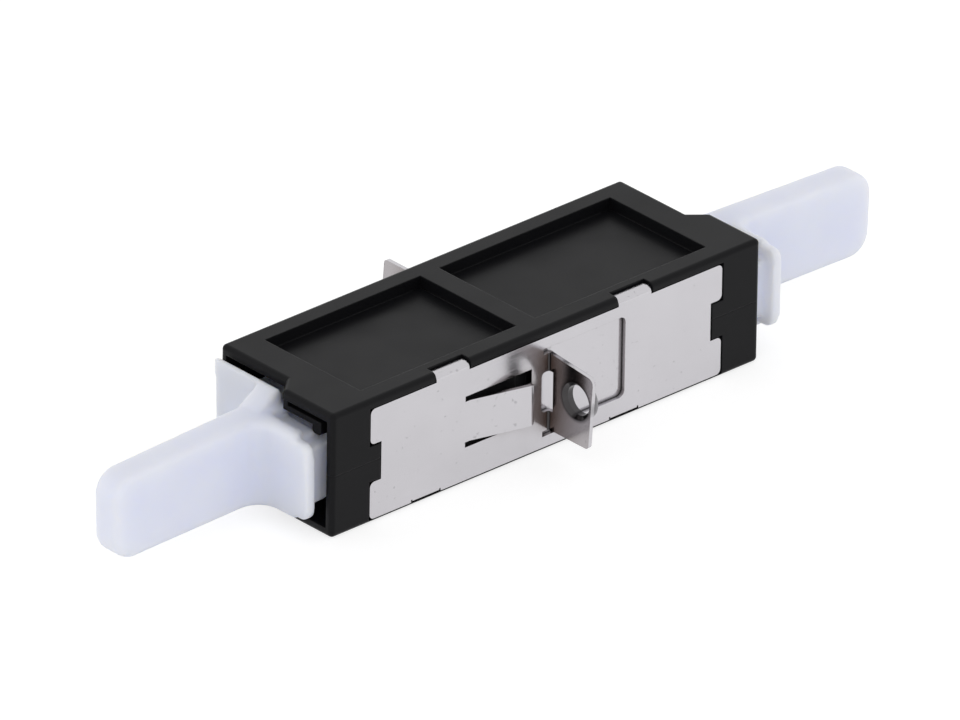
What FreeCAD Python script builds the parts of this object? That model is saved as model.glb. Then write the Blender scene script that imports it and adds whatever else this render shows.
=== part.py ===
import FreeCAD, Part
import math
import os
import Sketcher

# Latching fibre adapter: a clamshell housing held together by two sprung side plates, with a split
# alignment sleeve in the middle and a dust plug in each mouth. Millimetres, X along the optical axis,
# Z up, origin at the middle of the underside. Each piece is drawn about the optical axis and lifted.

SIZES = [
    ("body_length", 39.2, "near half of the housing, end to end"),
    ("body_width", 12.7, "across the side faces, passes a 13 mm panel cut-out"),
    ("body_height", 9.4, "underside to top, passes a 9.5 mm panel cut-out"),
    ("end_setback", 1.27, "far half ends this much short of the near half"),
    ("step_inner", 0.23, "slanted step, side distance from the axis at its inner end"),
    ("step_outer", 1.32, "slanted step, side distance from the axis at its outer end"),
    ("edge_round", 0.35, "outer edges of the housing"),
    ("recess_depth", 0.9, "recesses in the top face"),
    ("recess_rim", 1.55, "recesses, in from the side faces"),
    ("recess_left_rim", 3.9, "left recess, in from the near half's end"),
    ("recess_right_rim", 3.65, "right recess, in from the near half's end"),
    ("recess_rib_left", 1.52, "rib between the recesses, left side from the middle"),
    ("recess_rib_right", 0.2, "rib between the recesses, right side from the middle"),
    ("side_wall", 0.57, "side wall at the mouth"),
    ("roof_wall", 0.67, "roof and floor at the mouth"),
    ("mouth_depth", 2.6, "wide part of the mouth, from the near half's end"),
    ("channel_wall", 1.15, "side wall along the plug channel"),
    ("channel_roof", 1.5, "roof and floor along the plug channel"),
    ("centre_wall", 5.2, "wall in the middle that carries the sleeve holders"),
    ("guide_inset", 0.17, "guide rib, back from the near half's end"),
    ("guide_root", 1.2, "guide rib, side distance of its root web"),
    ("guide_web", 0.45, "guide rib, root web thickness"),
    ("guide_gap", 0.78, "guide rib's outer end from the mouth's side wall"),
    ("guide_slot", 0.45, "slot between guide rib and roof"),
    ("guide_rib", 0.4, "guide rib thickness"),
    ("guide_foot", 0.85, "foot at the end of the guide rib, width"),
    ("guide_drop", 0.6, "foot below the guide rib"),
    ("guide_round", 0.25, "edges of that foot"),
    ("fit_gap", 0.05, "gap between fixed pieces that fit into each other"),
    ("sheet", 0.3, "side plate thickness"),
    ("plate_inset", 0.03, "side plate below the housing's side face"),
    ("plate_gap", 0.1, "gap round the side plate in its pocket"),
    ("plate_post", 3.5, "corner posts, from the near half's end to the side plate"),
    ("plate_top_rim", 0.75, "side plate's upper edge below the top face"),
    ("plate_low_rim", 0.25, "side plate's lower edge above the underside"),
    ("plate_round", 0.4, "side plate corners"),
    ("notch_depth", 1.0, "end notches of the side plate"),
    ("notch_rise", 1.25, "end notches above the axis"),
    ("notch_fall", 1.63, "end notches below the axis"),
    ("hook_width", 3.0, "top hooks"),
    ("hook_left", 8.63, "left top hook, centre from the middle"),
    ("hook_right", 8.04, "right top hook, centre from the middle"),
    ("hook_rim", 0.2, "top hooks below the top face"),
    ("hook_reach", 0.8, "top hooks, from the plate's outer face inwards"),
    ("heel_width", 2.45, "bottom hooks"),
    ("heel_left", 10.97, "left bottom hook, centre from the middle"),
    ("heel_right", 7.17, "right bottom hook, centre from the middle"),
    ("heel_reach", 0.8, "bottom hooks, from the plate's outer face inwards"),
    ("heel_relief", 0.12, "bend reliefs beside the bottom hooks, width"),
    ("heel_relief_depth", 0.05, "bend reliefs beside the bottom hooks, past the bend"),
    ("heel_bend", 0.15, "outer radius of the bottom hooks' tight bend"),
    ("bend_inner", 0.15, "inner radius of the sheet's other sharp bends"),
    ("tongue_root", 7.45, "tongue slits begin, from the middle"),
    ("tongue_bend", 0.45, "tongue bends outwards, past the slits' beginning"),
    ("tongue_run", 4.5, "tongue, from that bend to its crest"),
    ("tongue_nose", 0.6, "tongue, from its crest to its tip"),
    ("tongue_clear", 0.5, "tongue's opening past its tip"),
    ("tongue_lift", 1.2, "tongue crest out from the plate's face"),
    ("tongue_curl", 0.55, "tongue tip back from its crest"),
    ("tongue_width", 3.1, "tongue, up and down"),
    ("tongue_round", 0.45, "outer radius of the tongue's curl"),
    ("tongue_bow", 1.0, "inner radius of the bend at the tongue's root"),
    ("tongue_corner", 0.6, "corners of the tongue's tip"),
    ("tongue_slit", 0.4, "slits above and below the tongue"),
    ("ear_place", 0.2, "screw ear, face that meets the panel, from the middle"),
    ("ear_rise", 2.69, "screw ear root above the axis"),
    ("ear_fall", 3.2, "screw ear below the axis"),
    ("ear_end", 1.7, "screw ear past the screw's centre"),
    ("ear_taper", 0.45, "screw ear, fall of its upper edge to the tip"),
    ("ear_slant", 0.4, "screw ear, its tip draws in towards its lower corner"),
    ("ear_round", 0.5, "screw ear, upper tip corner"),
    ("ear_toe", 0.3, "screw ear, lower tip corner"),
    ("relief", 0.42, "bend reliefs, height"),
    ("relief_reach", 0.55, "bend reliefs, past the fold"),
    ("fold_slot_rise", 1.3, "slot in the fold, above the axis"),
    ("fold_slot_fall", 1.75, "slot in the fold, below the axis"),
    ("fold_slot_back", 0.68, "slot in the fold, into the plate"),
    ("fold_slot_out", 0.4, "slot in the fold, into the ear"),
    ("screw_spacing", 18.0, "between the two screw holes"),
    ("screw_hole", 2.2, "screw hole diameter"),
    ("collar_wall", 0.33, "drawn collar round the screw hole"),
    ("collar_length", 0.45, "drawn collar behind the ear"),
    ("collar_entry", 0.26, "rolled entry of the screw hole"),
    ("window_left", 1.0, "plate window, left side from the middle"),
    ("window_right", 7.2, "plate window, right side from the middle"),
    ("window_top_rim", 0.88, "plate window below the plate's upper edge"),
    ("window_low_rim", 1.35, "plate window above the plate's lower edge"),
    ("window_round", 0.5, "plate window corners"),
    ("backing_sheet", 0.25, "backing plate thickness"),
    ("backing_lap", 0.1, "backing plate ends this far short of the tongue's opening"),
    ("backing_right", 8.3, "backing plate's right end from the middle"),
    ("backing_rim", 1.0, "backing plate, in from the top face and the underside"),
    ("flange_thickness", 1.2, "sleeve holder flange"),
    ("flange_width", 8.4, "sleeve holder flange, across"),
    ("flange_height", 5.8, "sleeve holder flange, up and down"),
    ("tube_diameter", 4.6, "sleeve holder tube, outside"),
    ("tube_length", 7.0, "sleeve holder, from the middle to its mouth"),
    ("tube_lead", 0.3, "lead-in at the tube's mouth"),
    ("sleeve_bore", 2.5, "split sleeve, inside"),
    ("sleeve_wall", 0.35, "split sleeve wall"),
    ("sleeve_length", 11.4, "split sleeve"),
    ("sleeve_slit", 0.5, "slit along the sleeve"),
    ("sleeve_play", 0.1, "sleeve floats this much in its holders"),
    ("blade_reach", 14.45, "grip blade, out from the near half's end"),
    ("blade_thickness", 2.5, "grip blade"),
    ("blade_shift", 0.4, "grip blade towards the far side"),
    ("blade_rim", 1.4, "grip blade, in from the top face and the underside"),
    ("blade_taper", 0.15, "grip blade edges close in towards the tip"),
    ("blade_corner", 1.7, "grip blade tip corners"),
    ("blade_round", 0.55, "grip blade edges"),
    ("wing_stand", 1.62, "near wing's front, out from the near half's end"),
    ("wing_thickness", 0.87, "near wing"),
    ("wing_rim", 0.8, "near wing's end, in from the side face"),
    ("wing_step", 0.4, "near wing's end is lower at each edge"),
    ("wing_end", 1.4, "length of that lower end"),
    ("wing_corner", 0.7, "near wing's outer corners"),
    ("root_near", 1.5, "fillet between blade and near wing"),
    ("root_far", 1.4, "fillet between blade and far flange"),
    ("lip_thickness", 0.62, "far flange of the plug"),
    ("lip_side_rim", 0.3, "far flange's end, in from the side face"),
    ("lip_edge_rim", 0.7, "far flange, in from the top face"),
    ("lip_low_rim", 1.4, "far flange, in from the underside"),
    ("lip_corner", 0.6, "far flange's outer corners"),
    ("lip_bevel", 0.2, "far flange's front edges"),
    ("stem_side_play", 0.35, "plug body off the channel's sides"),
    ("stem_roof_play", 1.05, "plug body off the channel's roof and floor"),
    ("stem_clear", 2.0, "plug body's inner end from the sleeve holder's mouth"),
    ("stem_lead", 0.5, "lead-in at the plug body's inner end"),
    ("core_wall", 1.0, "walls round the core of the plug body"),
    ("core_floor", 1.86, "solid end of the plug body behind the far flange"),
    ("plug_seat", 0.16, "far flange off the housing's end when pushed home"),
    ("plug_drawn", 1.2, "right plug stands this far short of its seat"),
    ("plug_droop", 0.324, "plugs hang in their play, drop at the near half's end"),
]

doc = FreeCAD.newDocument("fibre_adapter")
sheet = doc.addObject("Spreadsheet::Sheet", "dims")
for row, (alias, value, note) in enumerate(SIZES, start=1):
    sheet.set(f"A{row}", note)
    sheet.set(f"B{row}", str(value))
    sheet.setAlias(f"B{row}", alias)
doc.recompute()

START_RADIUS = 10.0
TOLERANCE = 1e-4
# Cuts run this far past the face that they open through
OVERRUN = "1"

# Places that several pieces share, as expressions over the sizes. Sides and heights are from the axis.
HALF_LENGTH = "(dims.body_length / 2)"
FAR_END = "(dims.body_length / 2 - dims.end_setback)"
HALF_WIDTH = "(dims.body_width / 2)"
HALF_HEIGHT = "(dims.body_height / 2)"
MOUTH_SIDE = "(dims.body_width / 2 - dims.side_wall)"
MOUTH_ROOF = "(dims.body_height / 2 - dims.roof_wall)"
CHANNEL_SIDE = "(dims.body_width / 2 - dims.channel_wall)"
CHANNEL_ROOF = "(dims.body_height / 2 - dims.channel_roof)"
PLATE_FACE = "(dims.body_width / 2 - dims.plate_inset)"
PLATE_BACK = "(dims.body_width / 2 - dims.plate_inset - dims.sheet)"
PLATE_END = "(dims.body_length / 2 - dims.plate_post)"
PLATE_TOP = "(dims.body_height / 2 - dims.plate_top_rim)"
PLATE_LOW = "(dims.body_height / 2 - dims.plate_low_rim)"
NOTCH_END = "(dims.body_length / 2 - dims.plate_post - dims.notch_depth)"
HOOK_TOP = "(dims.body_height / 2 - dims.hook_rim)"
HOOK_PLACES = ["-dims.hook_left", "dims.hook_right"]
HEEL_PLACES = ["-dims.heel_left", "dims.heel_right"]
TONGUE_BEND = "(dims.tongue_root - dims.tongue_bend)"
TONGUE_CREST = "(dims.tongue_root - dims.tongue_bend - dims.tongue_run)"
TONGUE_TIP = f"({TONGUE_CREST} - dims.tongue_nose)"
TONGUE_GAP = f"({TONGUE_CREST} - dims.tongue_nose - dims.tongue_clear)"
BACKING_LEFT = f"({TONGUE_GAP} - dims.backing_lap)"
BACKING_FACE = f"({PLATE_BACK} - dims.fit_gap / 2)"
BACKING_TALL = "(dims.body_height / 2 - dims.backing_rim)"
SLEEVE_OUTER = "(dims.sleeve_bore + 2 * dims.sleeve_wall)"


def number(expression):
    """What an expression over the sizes comes to, for picking edges."""
    return float(sheet.evalExpression(expression))


def new_body(label):
    body = doc.addObject("PartDesign::Body", label)
    body.Label = label
    return body


def new_sketch(body, name, role, offset="0"):
    """A sketch on one of the body's own origin planes, moved along its normal."""
    plane = [feature for feature in body.Origin.OriginFeatures if feature.Role == role][0]
    sketch = body.newObject("Sketcher::SketchObject", name)
    sketch.AttachmentSupport = [(plane, "")]
    sketch.MapMode = "FlatFace"
    sketch.setExpression("AttachmentOffset.Base.z", offset)
    return sketch


def hold(sketch, kind, geometry, point, value, expression):
    index = sketch.addConstraint(Sketcher.Constraint(kind, -1, 1, geometry, point, value))
    sketch.setExpression(f"Constraints[{index}]", expression)


def outline(body, name, role, offset, corners):
    """A closed outline whose corners are held by driven distances from the sketch's origin."""
    sketch = new_sketch(body, name, role, offset)
    count = len(corners)
    turn = 2 * math.pi / count
    start = [
        FreeCAD.Vector(START_RADIUS * math.cos(turn * i), START_RADIUS * math.sin(turn * i), 0)
        for i in range(count)
    ]
    for i in range(count):
        sketch.addGeometry(Part.LineSegment(start[i], start[(i + 1) % count]))
    for i in range(count):
        sketch.addConstraint(Sketcher.Constraint("Coincident", i, 2, (i + 1) % count, 1))
    for i, (across, up) in enumerate(corners):
        hold(sketch, "DistanceX", i, 1, start[i].x, across)
        hold(sketch, "DistanceY", i, 1, start[i].y, up)
    return sketch


def rectangle(body, name, role, offset, left, right, low, high):
    return outline(body, name, role, offset, [(left, low), (right, low), (right, high), (left, high)])


def circle(body, name, role, offset, across, up, diameter):
    sketch = new_sketch(body, name, role, offset)
    normal = FreeCAD.Vector(0, 0, 1)
    sketch.addGeometry(Part.Circle(FreeCAD.Vector(1, 1, 0), normal, 1))
    hold(sketch, "DistanceX", 0, 3, 1, across)
    hold(sketch, "DistanceY", 0, 3, 1, up)
    index = sketch.addConstraint(Sketcher.Constraint("Diameter", 0, 2))
    sketch.setExpression(f"Constraints[{index}]", diameter)
    return sketch


def spandrel(body, name, role, offset, corner, ways, radius):
    """What a rounded corner lacks: two legs from the corner and the arc that touches both."""
    sketch = new_sketch(body, name, role, offset)
    across, up = corner
    legs = [(f"{across} {ways[0]} {radius}", up), (across, f"{up} {ways[1]} {radius}")]
    centre = FreeCAD.Vector(number(legs[0][0]), number(legs[1][1]), 0)
    first, second = [FreeCAD.Vector(number(x), number(y), 0) for x, y in legs]
    square = FreeCAD.Vector(number(across), number(up), 0)
    middle = centre + (square - centre).normalize() * number(radius)
    sketch.addGeometry(Part.LineSegment(square, first))
    sketch.addGeometry(Part.LineSegment(second, square))
    arc = sketch.addGeometry(Part.Arc(first, middle, second))
    ends = [1, 2] if sketch.getPoint(arc, 1).isEqual(first, TOLERANCE) else [2, 1]
    sketch.addConstraint(Sketcher.Constraint("Coincident", 0, 1, 1, 2))
    sketch.addConstraint(Sketcher.Constraint("Coincident", 0, 2, arc, ends[0]))
    sketch.addConstraint(Sketcher.Constraint("Coincident", 1, 1, arc, ends[1]))
    for line, point, (x, y) in ((0, 1, corner), (0, 2, legs[0]), (1, 1, legs[1])):
        hold(sketch, "DistanceX", line, point, number(x), x)
        hold(sketch, "DistanceY", line, point, number(y), y)
    index = sketch.addConstraint(Sketcher.Constraint("Radius", arc, number(radius)))
    sketch.setExpression(f"Constraints[{index}]", radius)
    return sketch


def swept(body, kind, sketch, length, reverse, both):
    feature = body.newObject(kind, sketch.Name + "_" + kind.split("::")[1].lower())
    feature.Profile = sketch
    feature.setExpression("Length", length)
    feature.Reversed = reverse
    if both:
        feature.SideType = "Symmetric"
    doc.recompute()
    return feature


def pad(body, sketch, length, reverse=False, both=False):
    before = body.Shape.Volume if body.Shape.Solids else 0
    feature = swept(body, "PartDesign::Pad", sketch, length, reverse, both)
    if not feature.Shape.Volume > before:
        raise RuntimeError(f"{sketch.Name} adds nothing")
    return feature


def pocket(body, sketch, length, reverse=False, both=False):
    before = body.Shape.Volume
    feature = swept(body, "PartDesign::Pocket", sketch, length, reverse, both)
    if not feature.Shape.Volume < before:
        raise RuntimeError(f"{sketch.Name} cuts nothing")
    return feature


def at(value, target):
    return target is None or abs(value - target) < TOLERANCE


def edges_at(shape, x=None, y=None, z=None, test=None):
    """Names of the edges whose two ends lie at the given coordinates."""
    names = []
    for number, edge in enumerate(shape.Edges, start=1):
        ends = [edge.valueAt(edge.FirstParameter), edge.valueAt(edge.LastParameter)]
        if all(at(p.x, x) and at(p.y, y) and at(p.z, z) for p in ends) and (test is None or test(*ends)):
            names.append(f"Edge{number}")
    return names


def dress(body, kind, name, base, names, length):
    """Rounds or bevels the named edges of a feature."""
    if not names:
        raise RuntimeError(f"{name} finds no edge")
    feature = body.newObject("PartDesign::" + kind, name)
    feature.Base = (base, names)
    feature.setExpression("Radius" if kind == "Fillet" else "Size", length)
    doc.recompute()
    return feature


def along_x(first, second):
    return at(first.y, second.y) and at(first.z, second.z)


def along_y(first, second):
    return at(first.x, second.x) and at(first.z, second.z)


def along_z(first, second):
    return at(first.x, second.x) and at(first.y, second.y)


def place(body, axis, turned):
    """Lifts a piece to the optical axis, turned half round about one of its own axes or not."""
    turn = FreeCAD.Rotation(axis, 180 if turned else 0)
    body.Placement = FreeCAD.Placement(FreeCAD.Vector(0, 0, 0), turn)
    body.setExpression("Placement.Base.z", HALF_HEIGHT)


def cut_plate_seat(body, rear, lower, seat):
    """Pocket for a side plate in one half housing, deeper for the backing plate and the tongue's tip.

    The hooks lie in ledges that run through to the face, or in slots behind a lip of the housing.
    """
    high, notch, centres, hook_width, hook_top, reach, through = seat
    offset = f"-{HALF_WIDTH}" if rear else HALF_WIDTH
    name = f"{body.Name}_rear" if rear else f"{body.Name}_front"
    end = f"({PLATE_END} + dims.plate_gap)"
    inner = f"({NOTCH_END} + dims.plate_gap)"
    step = f"{notch} - dims.plate_gap"
    seat_depth = "dims.plate_inset + dims.sheet + dims.fit_gap / 2"
    flat = outline(body, f"{name}_seat", "XZ_Plane", offset, [
        (f"-{inner}", f"-{OVERRUN}"), (f"-{inner}", step), (f"-{end}", step), (f"-{end}", high),
        (end, high), (end, step), (inner, step), (inner, f"-{OVERRUN}"),
    ])
    pocket(body, flat, seat_depth, rear)
    rooms = (
        ("backing", f"-{BACKING_LEFT} - dims.plate_gap", "dims.backing_right + dims.plate_gap",
         f"{BACKING_TALL} + dims.plate_gap",
         "dims.plate_inset + dims.sheet + dims.backing_sheet + dims.fit_gap"),
        ("tip", f"-{TONGUE_CREST} - dims.plate_gap", f"-{TONGUE_GAP}",
         "dims.tongue_width / 2 + dims.tongue_slit",
         "dims.plate_inset + dims.tongue_curl + dims.plate_gap"),
    )
    for room, left, right, top, depth in rooms:
        if lower:
            left, right = f"-({right})", f"-({left})"
        deep = rectangle(body, f"{name}_{room}_room", "XZ_Plane", offset, left, right, f"-{OVERRUN}", top)
        pocket(body, deep, depth, rear)
    for hook, centre in enumerate(centres):
        left = f"{centre} - {hook_width} / 2 - dims.plate_gap"
        right = f"{centre} + {hook_width} / 2 + dims.plate_gap"
        if through:
            stand = rectangle(body, f"{name}_hook_{hook}", "XZ_Plane", offset,
                              left, right, f"{high} - dims.plate_gap", HALF_HEIGHT)
            pocket(body, stand, seat_depth, rear)
        ledge = rectangle(body, f"{name}_ledge_{hook}", "XZ_Plane", offset,
                          left, right, f"{hook_top} - dims.sheet - dims.fit_gap",
                          HALF_HEIGHT if through else high)
        pocket(body, ledge, f"dims.plate_inset + {reach} + dims.plate_gap", rear)


def make_shell(label, lower):
    """Half of the housing, drawn from the parting plane up."""
    body = new_body(label)
    block = pad(body, outline(body, f"{label}_plan", "XY_Plane", "0", [
        (f"-{HALF_LENGTH}", f"-{HALF_WIDTH}"), (HALF_LENGTH, f"-{HALF_WIDTH}"),
        (HALF_LENGTH, "-dims.step_outer"), (FAR_END, "-dims.step_inner"),
        (FAR_END, HALF_WIDTH), (f"-{FAR_END}", HALF_WIDTH),
        (f"-{FAR_END}", "-dims.step_inner"), (f"-{HALF_LENGTH}", "-dims.step_outer"),
    ]), HALF_HEIGHT)
    outer = [name for side in (f"-{HALF_WIDTH}", HALF_WIDTH)
             for name in edges_at(block.Shape, y=number(side), test=along_z)]
    rounded = edges_at(block.Shape, z=number(HALF_HEIGHT)) + outer
    dress(body, "Fillet", f"{label}_rounds", block, rounded, "dims.edge_round")

    recess_side = f"({HALF_WIDTH} - dims.recess_rim)"
    left_end, right_end = f"-{HALF_LENGTH} + dims.recess_left_rim", f"{HALF_LENGTH} - dims.recess_right_rim"
    for side, left, right in (("left", left_end, "-dims.recess_rib_left"),
                              ("right", "dims.recess_rib_right", right_end)):
        recess = rectangle(body, f"{label}_{side}_recess", "XY_Plane", HALF_HEIGHT,
                           left, right, f"-{recess_side}", recess_side)
        pocket(body, recess, "dims.recess_depth")

    for side, sign, outwards in (("left", "-", False), ("right", "", True)):
        channel = rectangle(body, f"{label}_{side}_channel", "YZ_Plane", f"{sign}dims.centre_wall / 2",
                            f"-{CHANNEL_SIDE}", CHANNEL_SIDE, f"-{OVERRUN}", CHANNEL_ROOF)
        pocket(body, channel, HALF_LENGTH, outwards)
        mouth = rectangle(body, f"{label}_{side}_mouth", "YZ_Plane",
                          f"{sign}({HALF_LENGTH} - dims.mouth_depth)",
                          f"-{MOUTH_SIDE}", MOUTH_SIDE, f"-{OVERRUN}", MOUTH_ROOF)
        pocket(body, mouth, f"dims.mouth_depth + {OVERRUN}", outwards)

    reach = f"({MOUTH_SIDE} - dims.guide_gap)"
    rib_top = f"{MOUTH_ROOF} - dims.guide_slot"
    rib_low = f"{rib_top} - dims.guide_rib"
    foot_low = f"{rib_low} - dims.guide_drop"
    guide = pad(body, outline(body, f"{label}_guide", "YZ_Plane", f"-({HALF_LENGTH} - dims.mouth_depth)", [
        ("-dims.guide_root", MOUTH_ROOF), ("-dims.guide_root", rib_low),
        (f"-{reach} + dims.guide_foot", rib_low), (f"-{reach} + dims.guide_foot", foot_low),
        (f"-{reach}", foot_low), (f"-{reach}", rib_top),
        ("-dims.guide_root - dims.guide_web", rib_top), ("-dims.guide_root - dims.guide_web", MOUTH_ROOF),
    ]), "dims.mouth_depth - dims.guide_inset", True)
    foot = edges_at(guide.Shape, z=number(foot_low), test=along_x)
    dress(body, "Fillet", f"{label}_guide_foot", guide, foot, "dims.guide_round")

    groove_half = "(dims.flange_thickness + dims.fit_gap)"
    groove_side = "(dims.flange_width / 2 + dims.fit_gap)"
    groove = rectangle(body, f"{label}_groove", "XY_Plane", "0",
                       f"-{groove_half}", groove_half, f"-{groove_side}", groove_side)
    pocket(body, groove, "dims.flange_height / 2 + dims.fit_gap", True)
    bore = circle(body, f"{label}_bore", "YZ_Plane", "0", "0", "0", "dims.tube_diameter + 2 * dims.fit_gap")
    pocket(body, bore, f"dims.centre_wall + {OVERRUN}", both=True)

    hooks, heels = HOOK_PLACES, HEEL_PLACES
    if lower:
        hooks, heels = [[f"-({centre})" for centre in row] for row in (hooks, heels)]
    hook_seat = (f"{PLATE_TOP} + dims.plate_gap", "dims.notch_rise",
                 hooks, "dims.hook_width", HOOK_TOP, "dims.hook_reach", True)
    heel_seat = (f"{PLATE_LOW} + dims.fit_gap", "dims.notch_fall",
                 heels, "dims.heel_width", PLATE_LOW, "dims.heel_reach", False)
    cut_plate_seat(body, False, lower, heel_seat if lower else hook_seat)
    cut_plate_seat(body, True, lower, hook_seat if lower else heel_seat)

    place(body, FreeCAD.Vector(0, 1, 0), lower)
    return body


def fold_hook(body, name, centre, width, root, leg, top, length, bend):
    """Strip that leaves the side plate's edge and turns inwards over the housing."""
    face, back, reach = f"-{PLATE_FACE}", f"-{PLATE_BACK}", f"-{PLATE_FACE} + {length}"
    bent = pad(body, outline(body, name, "YZ_Plane", f"{centre} - {width} / 2", [
        (face, root), (back, root), (back, leg), (reach, leg), (reach, top), (face, top),
    ]), width)
    middle = number(centre)
    outside = edges_at(bent.Shape, y=number(face), z=number(top),
                       test=lambda first, second: at((first.x + second.x) / 2, middle))
    dress(body, "Fillet", f"{name}_bend", bent, outside, bend)


def make_side_plate(label, rear):
    """Side plate with hooks, tongue and screw ear folded from one sheet, drawn as the front one."""
    body = new_body(label)
    face, back = f"-{PLATE_FACE}", f"-{PLATE_BACK}"
    pad(body, outline(body, f"{label}_flat", "XZ_Plane", PLATE_BACK, [
        (f"-{PLATE_END}", f"-{PLATE_LOW}"), (PLATE_END, f"-{PLATE_LOW}"), (PLATE_END, "-dims.notch_fall"),
        (NOTCH_END, "-dims.notch_fall"), (NOTCH_END, "dims.notch_rise"), (PLATE_END, "dims.notch_rise"),
        (PLATE_END, PLATE_TOP), (f"-{PLATE_END}", PLATE_TOP), (f"-{PLATE_END}", "dims.notch_rise"),
        (f"-{NOTCH_END}", "dims.notch_rise"), (f"-{NOTCH_END}", "-dims.notch_fall"),
        (f"-{PLATE_END}", "-dims.notch_fall"),
    ]), "dims.sheet")
    flat = body.Tip
    corners = [name for end in (f"-{PLATE_END}", PLATE_END)
               for name in edges_at(flat.Shape, x=number(end), test=along_y)]
    dress(body, "Fillet", f"{label}_corners", flat, corners, "dims.plate_round")

    for hook, centre in enumerate(HOOK_PLACES):
        fold_hook(body, f"{label}_hook_{hook}", centre, "dims.hook_width",
                  f"{PLATE_TOP} - dims.sheet", f"{HOOK_TOP} - dims.sheet", HOOK_TOP, "dims.hook_reach",
                  "dims.sheet + dims.bend_inner")
    for heel, centre in enumerate(HEEL_PLACES):
        half = "(dims.heel_width / 2 + dims.heel_relief)"
        relief_top = f"-{PLATE_LOW} + dims.heel_bend + dims.heel_relief_depth"
        relief = rectangle(body, f"{label}_relief_{heel}", "XZ_Plane", PLATE_FACE,
                           f"{centre} - {half}", f"{centre} + {half}", f"-{PLATE_LOW}", relief_top)
        pocket(body, relief, "dims.sheet")
        fold_hook(body, f"{label}_heel_{heel}", centre, "dims.heel_width",
                  f"{relief_top} + dims.sheet", f"-{PLATE_LOW} + dims.sheet", f"-{PLATE_LOW}",
                  "dims.heel_reach", "dims.heel_bend")

    tongue_half = "dims.tongue_width / 2"
    opening = rectangle(body, f"{label}_tongue_opening", "XZ_Plane", PLATE_FACE,
                        "-dims.tongue_root", f"-{TONGUE_GAP}",
                        f"-{tongue_half} - dims.tongue_slit", f"{tongue_half} + dims.tongue_slit")
    pocket(body, opening, "dims.sheet")
    crest = f"-({PLATE_FACE} + dims.tongue_lift)"
    under = f"{crest} + dims.sheet"
    tip = f"{crest} + dims.tongue_curl"
    tongue = pad(body, outline(body, f"{label}_tongue", "XY_Plane", f"-{tongue_half}", [
        ("-dims.tongue_root - dims.sheet", face), ("-dims.tongue_root - dims.sheet", back),
        (f"-{TONGUE_BEND}", back), (f"-{TONGUE_CREST}", under),
        (f"-{TONGUE_TIP} - dims.sheet", tip), (f"-{TONGUE_TIP}", tip),
        (f"-{TONGUE_CREST} + dims.sheet", crest), (f"-{TONGUE_CREST} - dims.sheet / 4", crest),
        (f"-{TONGUE_BEND}", face),
    ]), "dims.tongue_width")
    outside = edges_at(tongue.Shape, y=number(crest), test=along_z)
    tongue = dress(body, "Fillet", f"{label}_tongue_crest", tongue, outside, "dims.tongue_round")
    inside = edges_at(tongue.Shape, x=-number(TONGUE_CREST), y=number(under), test=along_z)
    tongue = dress(body, "Fillet", f"{label}_tongue_curl", tongue, inside, "dims.bend_inner")
    bend = edges_at(tongue.Shape, x=-number(TONGUE_BEND), test=along_z)
    dress(body, "Fillet", f"{label}_tongue_root", tongue, bend, "dims.tongue_bow")
    for side, edge, inwards in (("upper", tongue_half, "-"), ("lower", f"-{tongue_half}", "+")):
        corner = spandrel(body, f"{label}_{side}_corner", "XZ_Plane", f"{PLATE_FACE} + dims.tongue_lift",
                          (f"-{TONGUE_TIP}", edge), ("-", inwards), "dims.tongue_corner")
        pocket(body, corner, "dims.tongue_lift")

    ear_back = "dims.ear_place + dims.sheet"
    relief_end = "dims.ear_place - dims.relief_reach"
    window_top = f"{PLATE_TOP} - dims.window_top_rim"
    window_low = f"-{PLATE_LOW} + dims.window_low_rim"
    window = pocket(body, outline(body, f"{label}_window", "XZ_Plane", PLATE_FACE, [
        ("dims.window_right", window_low), ("dims.window_right", window_top),
        ("dims.window_left", window_top), ("dims.window_left", "dims.ear_rise + dims.relief"),
        (relief_end, "dims.ear_rise + dims.relief"), (relief_end, "dims.ear_rise"),
        (ear_back, "dims.ear_rise"), (ear_back, "-dims.ear_fall"), (relief_end, "-dims.ear_fall"),
        (relief_end, "-dims.ear_fall - dims.relief"), ("dims.window_left", "-dims.ear_fall - dims.relief"),
        ("dims.window_left", window_low),
    ]), "dims.sheet")
    right_corners = edges_at(window.Shape, x=number("dims.window_right"), test=along_y)
    dress(body, "Fillet", f"{label}_window_corners", window, right_corners, "dims.window_round")

    ear_tip = "-(dims.screw_spacing / 2 + dims.ear_end)"
    ear_toe = f"{ear_tip} + dims.ear_slant"
    tip_rise = "dims.ear_rise - dims.ear_taper"
    ear = pad(body, outline(body, f"{label}_ear", "YZ_Plane", "dims.ear_place", [
        (back, "-dims.ear_fall"), (ear_toe, "-dims.ear_fall"), (ear_tip, tip_rise), (back, "dims.ear_rise"),
    ]), "dims.sheet")
    corner = edges_at(ear.Shape, y=number(ear_tip), z=number(tip_rise), test=along_x)
    ear = dress(body, "Fillet", f"{label}_ear_corner", ear, corner, "dims.ear_round")
    toe = edges_at(ear.Shape, y=number(ear_toe), z=number("-dims.ear_fall"), test=along_x)
    ear = dress(body, "Fillet", f"{label}_ear_toe", ear, toe, "dims.ear_toe")
    outside = edges_at(ear.Shape, x=number(ear_back), y=number(back), test=along_z)
    ear = dress(body, "Fillet", f"{label}_fold_outside", ear, outside, "dims.sheet * 0.9")
    inside = edges_at(ear.Shape, x=number("dims.ear_place"), y=number(face), test=along_z)
    dress(body, "Fillet", f"{label}_fold_inside", ear, inside, "dims.bend_inner")

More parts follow.
